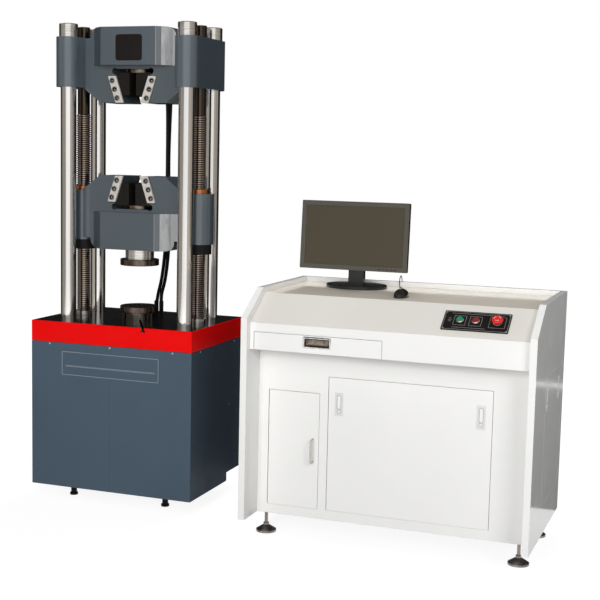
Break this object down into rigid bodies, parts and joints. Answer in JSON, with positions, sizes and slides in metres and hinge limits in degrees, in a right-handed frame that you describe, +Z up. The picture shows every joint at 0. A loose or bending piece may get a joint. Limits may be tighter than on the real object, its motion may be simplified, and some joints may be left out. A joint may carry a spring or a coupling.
{
  "type": "universal testing machine",
  "caption": "Floor-standing hydraulic testing machine: a column load frame with wedge grips, lead screws and platens, beside a control console with drawer, door and monitor.",
  "frame": {"origin": "on the floor, under the middle of both units together", "axes": "+X to the right from the load frame to the console, +Y to the back, +Z up"},
  "size_m": [2.129, 0.721, 1.97],
  "materials": {
    "machine_paint": "semi-gloss blue-grey enamel",
    "machine_casting": "semi-gloss blue-grey enamel on cast iron",
    "table_paint": "gloss red enamel on the sides, glossy black top",
    "dark_steel": "dark enamel",
    "hard_chrome": "polished",
    "bright_steel": "turned or ground, lightly oiled",
    "jaw_steel": "black oxide",
    "foot_steel": "zinc-grey",
    "bronze": "turned bronze",
    "burnished_steel": "dark burnished",
    "cylinder_iron": "bare casting",
    "seal_rubber": "matt",
    "console_white": "gloss white powder coat",
    "console_cream": "gloss warm white",
    "control_plate": "dark anodised",
    "green_plastic": "gloss",
    "dark_red_plastic": "gloss",
    "red_plastic": "gloss",
    "bright_trim": "polished",
    "lock_plastic": "satin pale grey",
    "black_gloss": "piano black"
  },
  "bodies": {
    "base": {"base_frame": "dark_steel", "levelling_feet": "foot_steel", "front_cover": "machine_paint", "rear_cover": "machine_paint", "left_cover": "machine_paint", "right_cover": "machine_paint", "ram_cylinder": "cylinder_iron", "drive_motor": "dark_steel", "drive_chain": "bright_steel", "left_cheek": "console_white", "right_cheek": "console_white", "lower_panel": "console_white", "console_carcass": "console_white", "drawer_housing": "console_white", "console_top": "console_cream", "control_plate": "control_plate", "oil_tank": "dark_steel", "pump_motor": "dark_steel", "monitor_stand": "black_gloss", "mouse": "black_gloss", "mouse_cord": "seal_rubber"},
    "lifting_frame": {"ram_piston": "hard_chrome", "worktable": "table_paint", "screw_collars": "bright_steel", "columns": "hard_chrome", "column_nuts": "bright_steel", "upper_crosshead": "machine_casting", "upper_jaw_strips": "bright_steel", "lower_platen_base": "burnished_steel", "lower_platen": "burnished_steel", "left_hose": "seal_rubber", "right_hose": "seal_rubber", "hose_fittings": "bright_steel"},
    "left_screw": {"left_screw": "bright_steel"},
    "right_screw": {"right_screw": "bright_steel"},
    "motor_sprocket": {"motor_sprocket": "bright_steel"},
    "middle_crosshead": {"middle_crosshead": "machine_casting", "screw_nuts": "bronze", "nut_wipers": "seal_rubber", "lower_jaw_strips": "bright_steel", "platen_stem": "bright_steel", "upper_platen": "burnished_steel"},
    "upper_left_jaw": {"upper_left_jaw": "jaw_steel"},
    "upper_right_jaw": {"upper_right_jaw": "jaw_steel"},
    "upper_push_plate": {"upper_push_plate": "jaw_steel"},
    "lower_left_jaw": {"lower_left_jaw": "jaw_steel"},
    "lower_right_jaw": {"lower_right_jaw": "jaw_steel"},
    "lower_push_plate": {"lower_push_plate": "jaw_steel"},
    "drawer": {"drawer": "console_white", "drawer_pull": "bright_trim"},
    "storage_door": {"storage_door": "console_white", "door_handle": "bright_trim"},
    "pump_panel": {"pump_panel": "console_white"},
    "left_lock": {"left_lock": "lock_plastic"},
    "right_lock": {"right_lock": "lock_plastic"},
    "side_panel": {"side_panel": "console_white"},
    "green_button": {"green_button": "green_plastic"},
    "red_button": {"red_button": "dark_red_plastic"},
    "emergency_stop": {"emergency_stop": "red_plastic"},
    "monitor_head": {"monitor_head": "black_gloss"}
  },
  "joints": [
    {"name": "ram_lift", "type": "slide", "parent": "base", "child": "lifting_frame", "axis": [0, 0, 1], "range_m": [0, 0.15]},
    {"name": "left_screw_turn", "type": "hinge", "parent": "base", "child": "left_screw", "pos_m": [-0.968, 0.1025, 0.121], "axis": [0, 0, 1], "range_deg": [-10000, 800]},
    {"name": "right_screw_turn", "type": "hinge", "parent": "base", "child": "right_screw", "pos_m": [-0.428, 0.1025, 0.121], "axis": [0, 0, 1], "range_deg": [-10001, 801]},
    {"name": "sprocket_turn", "type": "hinge", "parent": "base", "child": "motor_sprocket", "pos_m": [-0.698, 0.3075, 0.145], "axis": [0, 0, 1], "range_deg": [-15001, 1201]},
    {"name": "crosshead_travel", "type": "slide", "parent": "base", "child": "middle_crosshead", "axis": [0, 0, 1], "range_m": [-0.0201, 0.2501]},
    {"name": "upper_left_grip", "type": "slide", "parent": "lifting_frame", "child": "upper_left_jaw", "axis": [0.314, 0, -0.9494], "range_m": [0, 0.043]},
    {"name": "upper_right_grip", "type": "slide", "parent": "lifting_frame", "child": "upper_right_jaw", "axis": [-0.314, 0, -0.9494], "range_m": [0, 0.0431]},
    {"name": "upper_push", "type": "slide", "parent": "lifting_frame", "child": "upper_push_plate", "axis": [0, 0, -1], "range_m": [0, 0.0431]},
    {"name": "lower_left_grip", "type": "slide", "parent": "middle_crosshead", "child": "lower_left_jaw", "axis": [0.314, 0, 0.9494], "range_m": [0, 0.043]},
    {"name": "lower_right_grip", "type": "slide", "parent": "middle_crosshead", "child": "lower_right_jaw", "axis": [-0.314, 0, 0.9494], "range_m": [0, 0.0431]},
    {"name": "lower_push", "type": "slide", "parent": "middle_crosshead", "child": "lower_push_plate", "axis": [0, 0, 1], "range_m": [0, 0.0431]},
    {"name": "drawer_slide", "type": "slide", "parent": "base", "child": "drawer", "axis": [0, -1, 0], "range_m": [0, 0.35]},
    {"name": "door_swing", "type": "hinge", "parent": "base", "child": "storage_door", "pos_m": [0.0351, -0.2225, 0.339], "axis": [0, 0, -1], "range_deg": [0, 95]},
    {"name": "pump_panel_off", "type": "slide", "parent": "base", "child": "pump_panel", "axis": [0, -1, 0], "range_m": [0, 0.3]},
    {"name": "left_lock_swing", "type": "hinge", "parent": "pump_panel", "child": "left_lock", "pos_m": [0.3125, -0.2235, 0.569], "axis": [-1, 0, 0], "range_deg": [0, 60]},
    {"name": "right_lock_swing", "type": "hinge", "parent": "pump_panel", "child": "right_lock", "pos_m": [0.8525, -0.2235, 0.569], "axis": [-1, 0, 0], "range_deg": [0, 60]},
    {"name": "side_panel_off", "type": "slide", "parent": "base", "child": "side_panel", "axis": [1, 0, 0], "range_m": [0, 0.3]},
    {"name": "green_press", "type": "slide", "parent": "base", "child": "green_button", "axis": [0, 0.5646, -0.8254], "range_m": [0, 0.004], "stiffness_N_per_m": 800, "springref_m": -0.002},
    {"name": "red_press", "type": "slide", "parent": "base", "child": "red_button", "axis": [0, 0.5646, -0.8254], "range_m": [0, 0.004], "stiffness_N_per_m": 800, "springref_m": -0.002},
    {"name": "stop_press", "type": "slide", "parent": "base", "child": "emergency_stop", "axis": [0, 0.5646, -0.8254], "range_m": [0, 0.005], "stiffness_N_per_m": 1500, "springref_m": -0.002},
    {"name": "monitor_tilt", "type": "hinge", "parent": "base", "child": "monitor_head", "pos_m": [0.2465, 0.1645, 1.12], "axis": [1, 0, 0], "range_deg": [-15, 6]}
  ],
  "couplings": [
    {"joint": "right_screw_turn", "follows": "left_screw_turn", "ratio": 1},
    {"joint": "sprocket_turn", "follows": "left_screw_turn", "ratio": 1.5},
    {"joint": "crosshead_travel", "follows": "left_screw_turn", "m_per_rad": -0.0014324},
    {"joint": "upper_right_grip", "follows": "upper_left_grip", "ratio": 1},
    {"joint": "upper_push", "follows": "upper_left_grip", "ratio": 0.94942},
    {"joint": "lower_right_grip", "follows": "lower_left_grip", "ratio": 1},
    {"joint": "lower_push", "follows": "lower_left_grip", "ratio": 0.94942}
  ]
}
